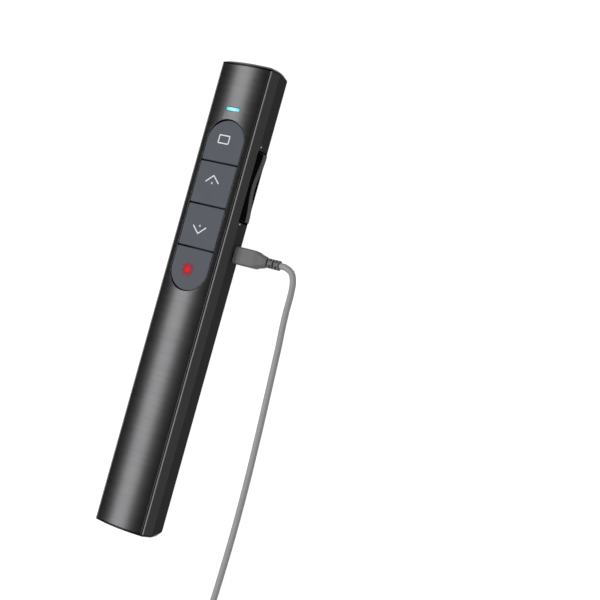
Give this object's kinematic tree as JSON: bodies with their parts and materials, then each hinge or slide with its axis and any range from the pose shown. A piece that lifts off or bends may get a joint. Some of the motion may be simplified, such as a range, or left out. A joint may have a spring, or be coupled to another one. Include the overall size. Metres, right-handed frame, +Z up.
{
  "type": "laser pointer presenter",
  "caption": "Slim hand-held presenter with a laser, round-ended key strip, side rocker, status light and a ribbed charging lead plugged into its side",
  "frame": {"origin": "on the flat land of the back, under the middle of the case, where the presenter rests", "axes": "+Y runs along the case to the laser end, +Z is up through the keys, +X is the side with the rocker and the charging socket"},
  "size_m": [0.0641, 0.2288, 0.0133],
  "materials": {
    "cover_metal": "dark anodised satin",
    "case_plastic": "satin",
    "bezel_black": "gloss",
    "end_plate_grey": "matte",
    "key_slate": "soft matte",
    "rocker_black": "satin",
    "light_cyan": "lit from behind",
    "clear_glass": "clear",
    "barrel_brass": "turned",
    "plated_steel": "nickel plated",
    "circuit_board": "solder mask",
    "chip_black": "matte",
    "white_plastic": "matte",
    "battery_foil": "foil pouch",
    "foam_grey": "foam",
    "wire_red": "insulation",
    "wire_black": "insulation",
    "tie_black": "woven band",
    "plug_grey": "moulded",
    "cord_grey": "moulded"
  },
  "bodies": {
    "case": {"top_cover": "cover_metal", "bottom_case": "case_plastic", "head_bezel": "bezel_black", "tail_bezel": "bezel_black", "head_end_plate": "end_plate_grey", "tail_end_plate": "end_plate_grey", "laser_window": "clear_glass", "laser_barrel": "barrel_brass", "laser_lens": "clear_glass", "laser_diode": "plated_steel", "laser_driver_board": "circuit_board", "laser_lead_red": "wire_red", "laser_lead_black": "wire_black", "key_switch_1": "chip_black", "key_switch_2": "chip_black", "key_switch_3": "chip_black", "key_switch_4": "chip_black", "rocker_pin": "plated_steel", "rocker_switch_tail": "chip_black", "rocker_switch_head": "chip_black", "main_board": "circuit_board", "board_screw_1": "plated_steel", "board_screw_2": "plated_steel", "board_screw_3": "plated_steel", "board_screw_4": "plated_steel", "control_chip": "chip_black", "radio_chip": "chip_black", "crystal_can": "plated_steel", "light_pipe": "light_cyan", "status_led": "white_plastic", "battery_cell": "battery_foil", "battery_pad": "foam_grey", "battery_lead_red": "wire_red", "battery_lead_black": "wire_black", "receiver_bay": "chip_black", "charge_socket": "chip_black"},
    "screen_key": {"key_screen": "key_slate", "key_plunger_4": "white_plastic"},
    "page_up_key": {"key_page_up": "key_slate", "key_plunger_3": "white_plastic"},
    "page_down_key": {"key_page_down": "key_slate", "key_plunger_2": "white_plastic"},
    "laser_key": {"key_laser": "key_slate", "key_plunger_1": "white_plastic"},
    "rocker": {"volume_rocker": "rocker_black", "rocker_plunger_tail": "white_plastic", "rocker_plunger_head": "white_plastic"},
    "receiver": {"receiver_body": "chip_black", "receiver_shell": "plated_steel", "receiver_tongue": "white_plastic"},
    "charging_lead": {"charge_plug_body": "plug_grey", "charge_plug_tip": "plated_steel", "charging_cord": "cord_grey", "cord_coil": "cord_grey", "cord_lead_out": "cord_grey", "cord_tie": "tie_black", "usb_plug_body": "plug_grey", "usb_plug_shell": "plated_steel", "usb_plug_tongue": "white_plastic"}
  },
  "joints": [
    {"name": "screen_key_press", "type": "slide", "parent": "case", "child": "screen_key", "axis": [0, 0, -1], "range_m": [0, 0.0004], "stiffness_N_per_m": 1500},
    {"name": "page_up_key_press", "type": "slide", "parent": "case", "child": "page_up_key", "axis": [0, 0, -1], "range_m": [0, 0.0004], "stiffness_N_per_m": 1500},
    {"name": "page_down_key_press", "type": "slide", "parent": "case", "child": "page_down_key", "axis": [0, 0, -1], "range_m": [0, 0.0004], "stiffness_N_per_m": 1500},
    {"name": "laser_key_press", "type": "slide", "parent": "case", "child": "laser_key", "axis": [0, 0, -1], "range_m": [0, 0.0004], "stiffness_N_per_m": 1500},
    {"name": "rocker_tilt", "type": "hinge", "parent": "case", "child": "rocker", "pos_m": [0.00845, 0.0377, 0.00585], "axis": [0, 0, 1], "range_deg": [-2, 2], "stiffness_Nm_per_rad": 0.2},
    {"name": "receiver_pull", "type": "slide", "parent": "case", "child": "receiver", "axis": [0, -1, 0], "range_m": [0, 0.018]},
    {"name": "charging_plug_pull", "type": "slide", "parent": "case", "child": "charging_lead", "axis": [1, 0, 0], "range_m": [0, 0.008]}
  ]
}
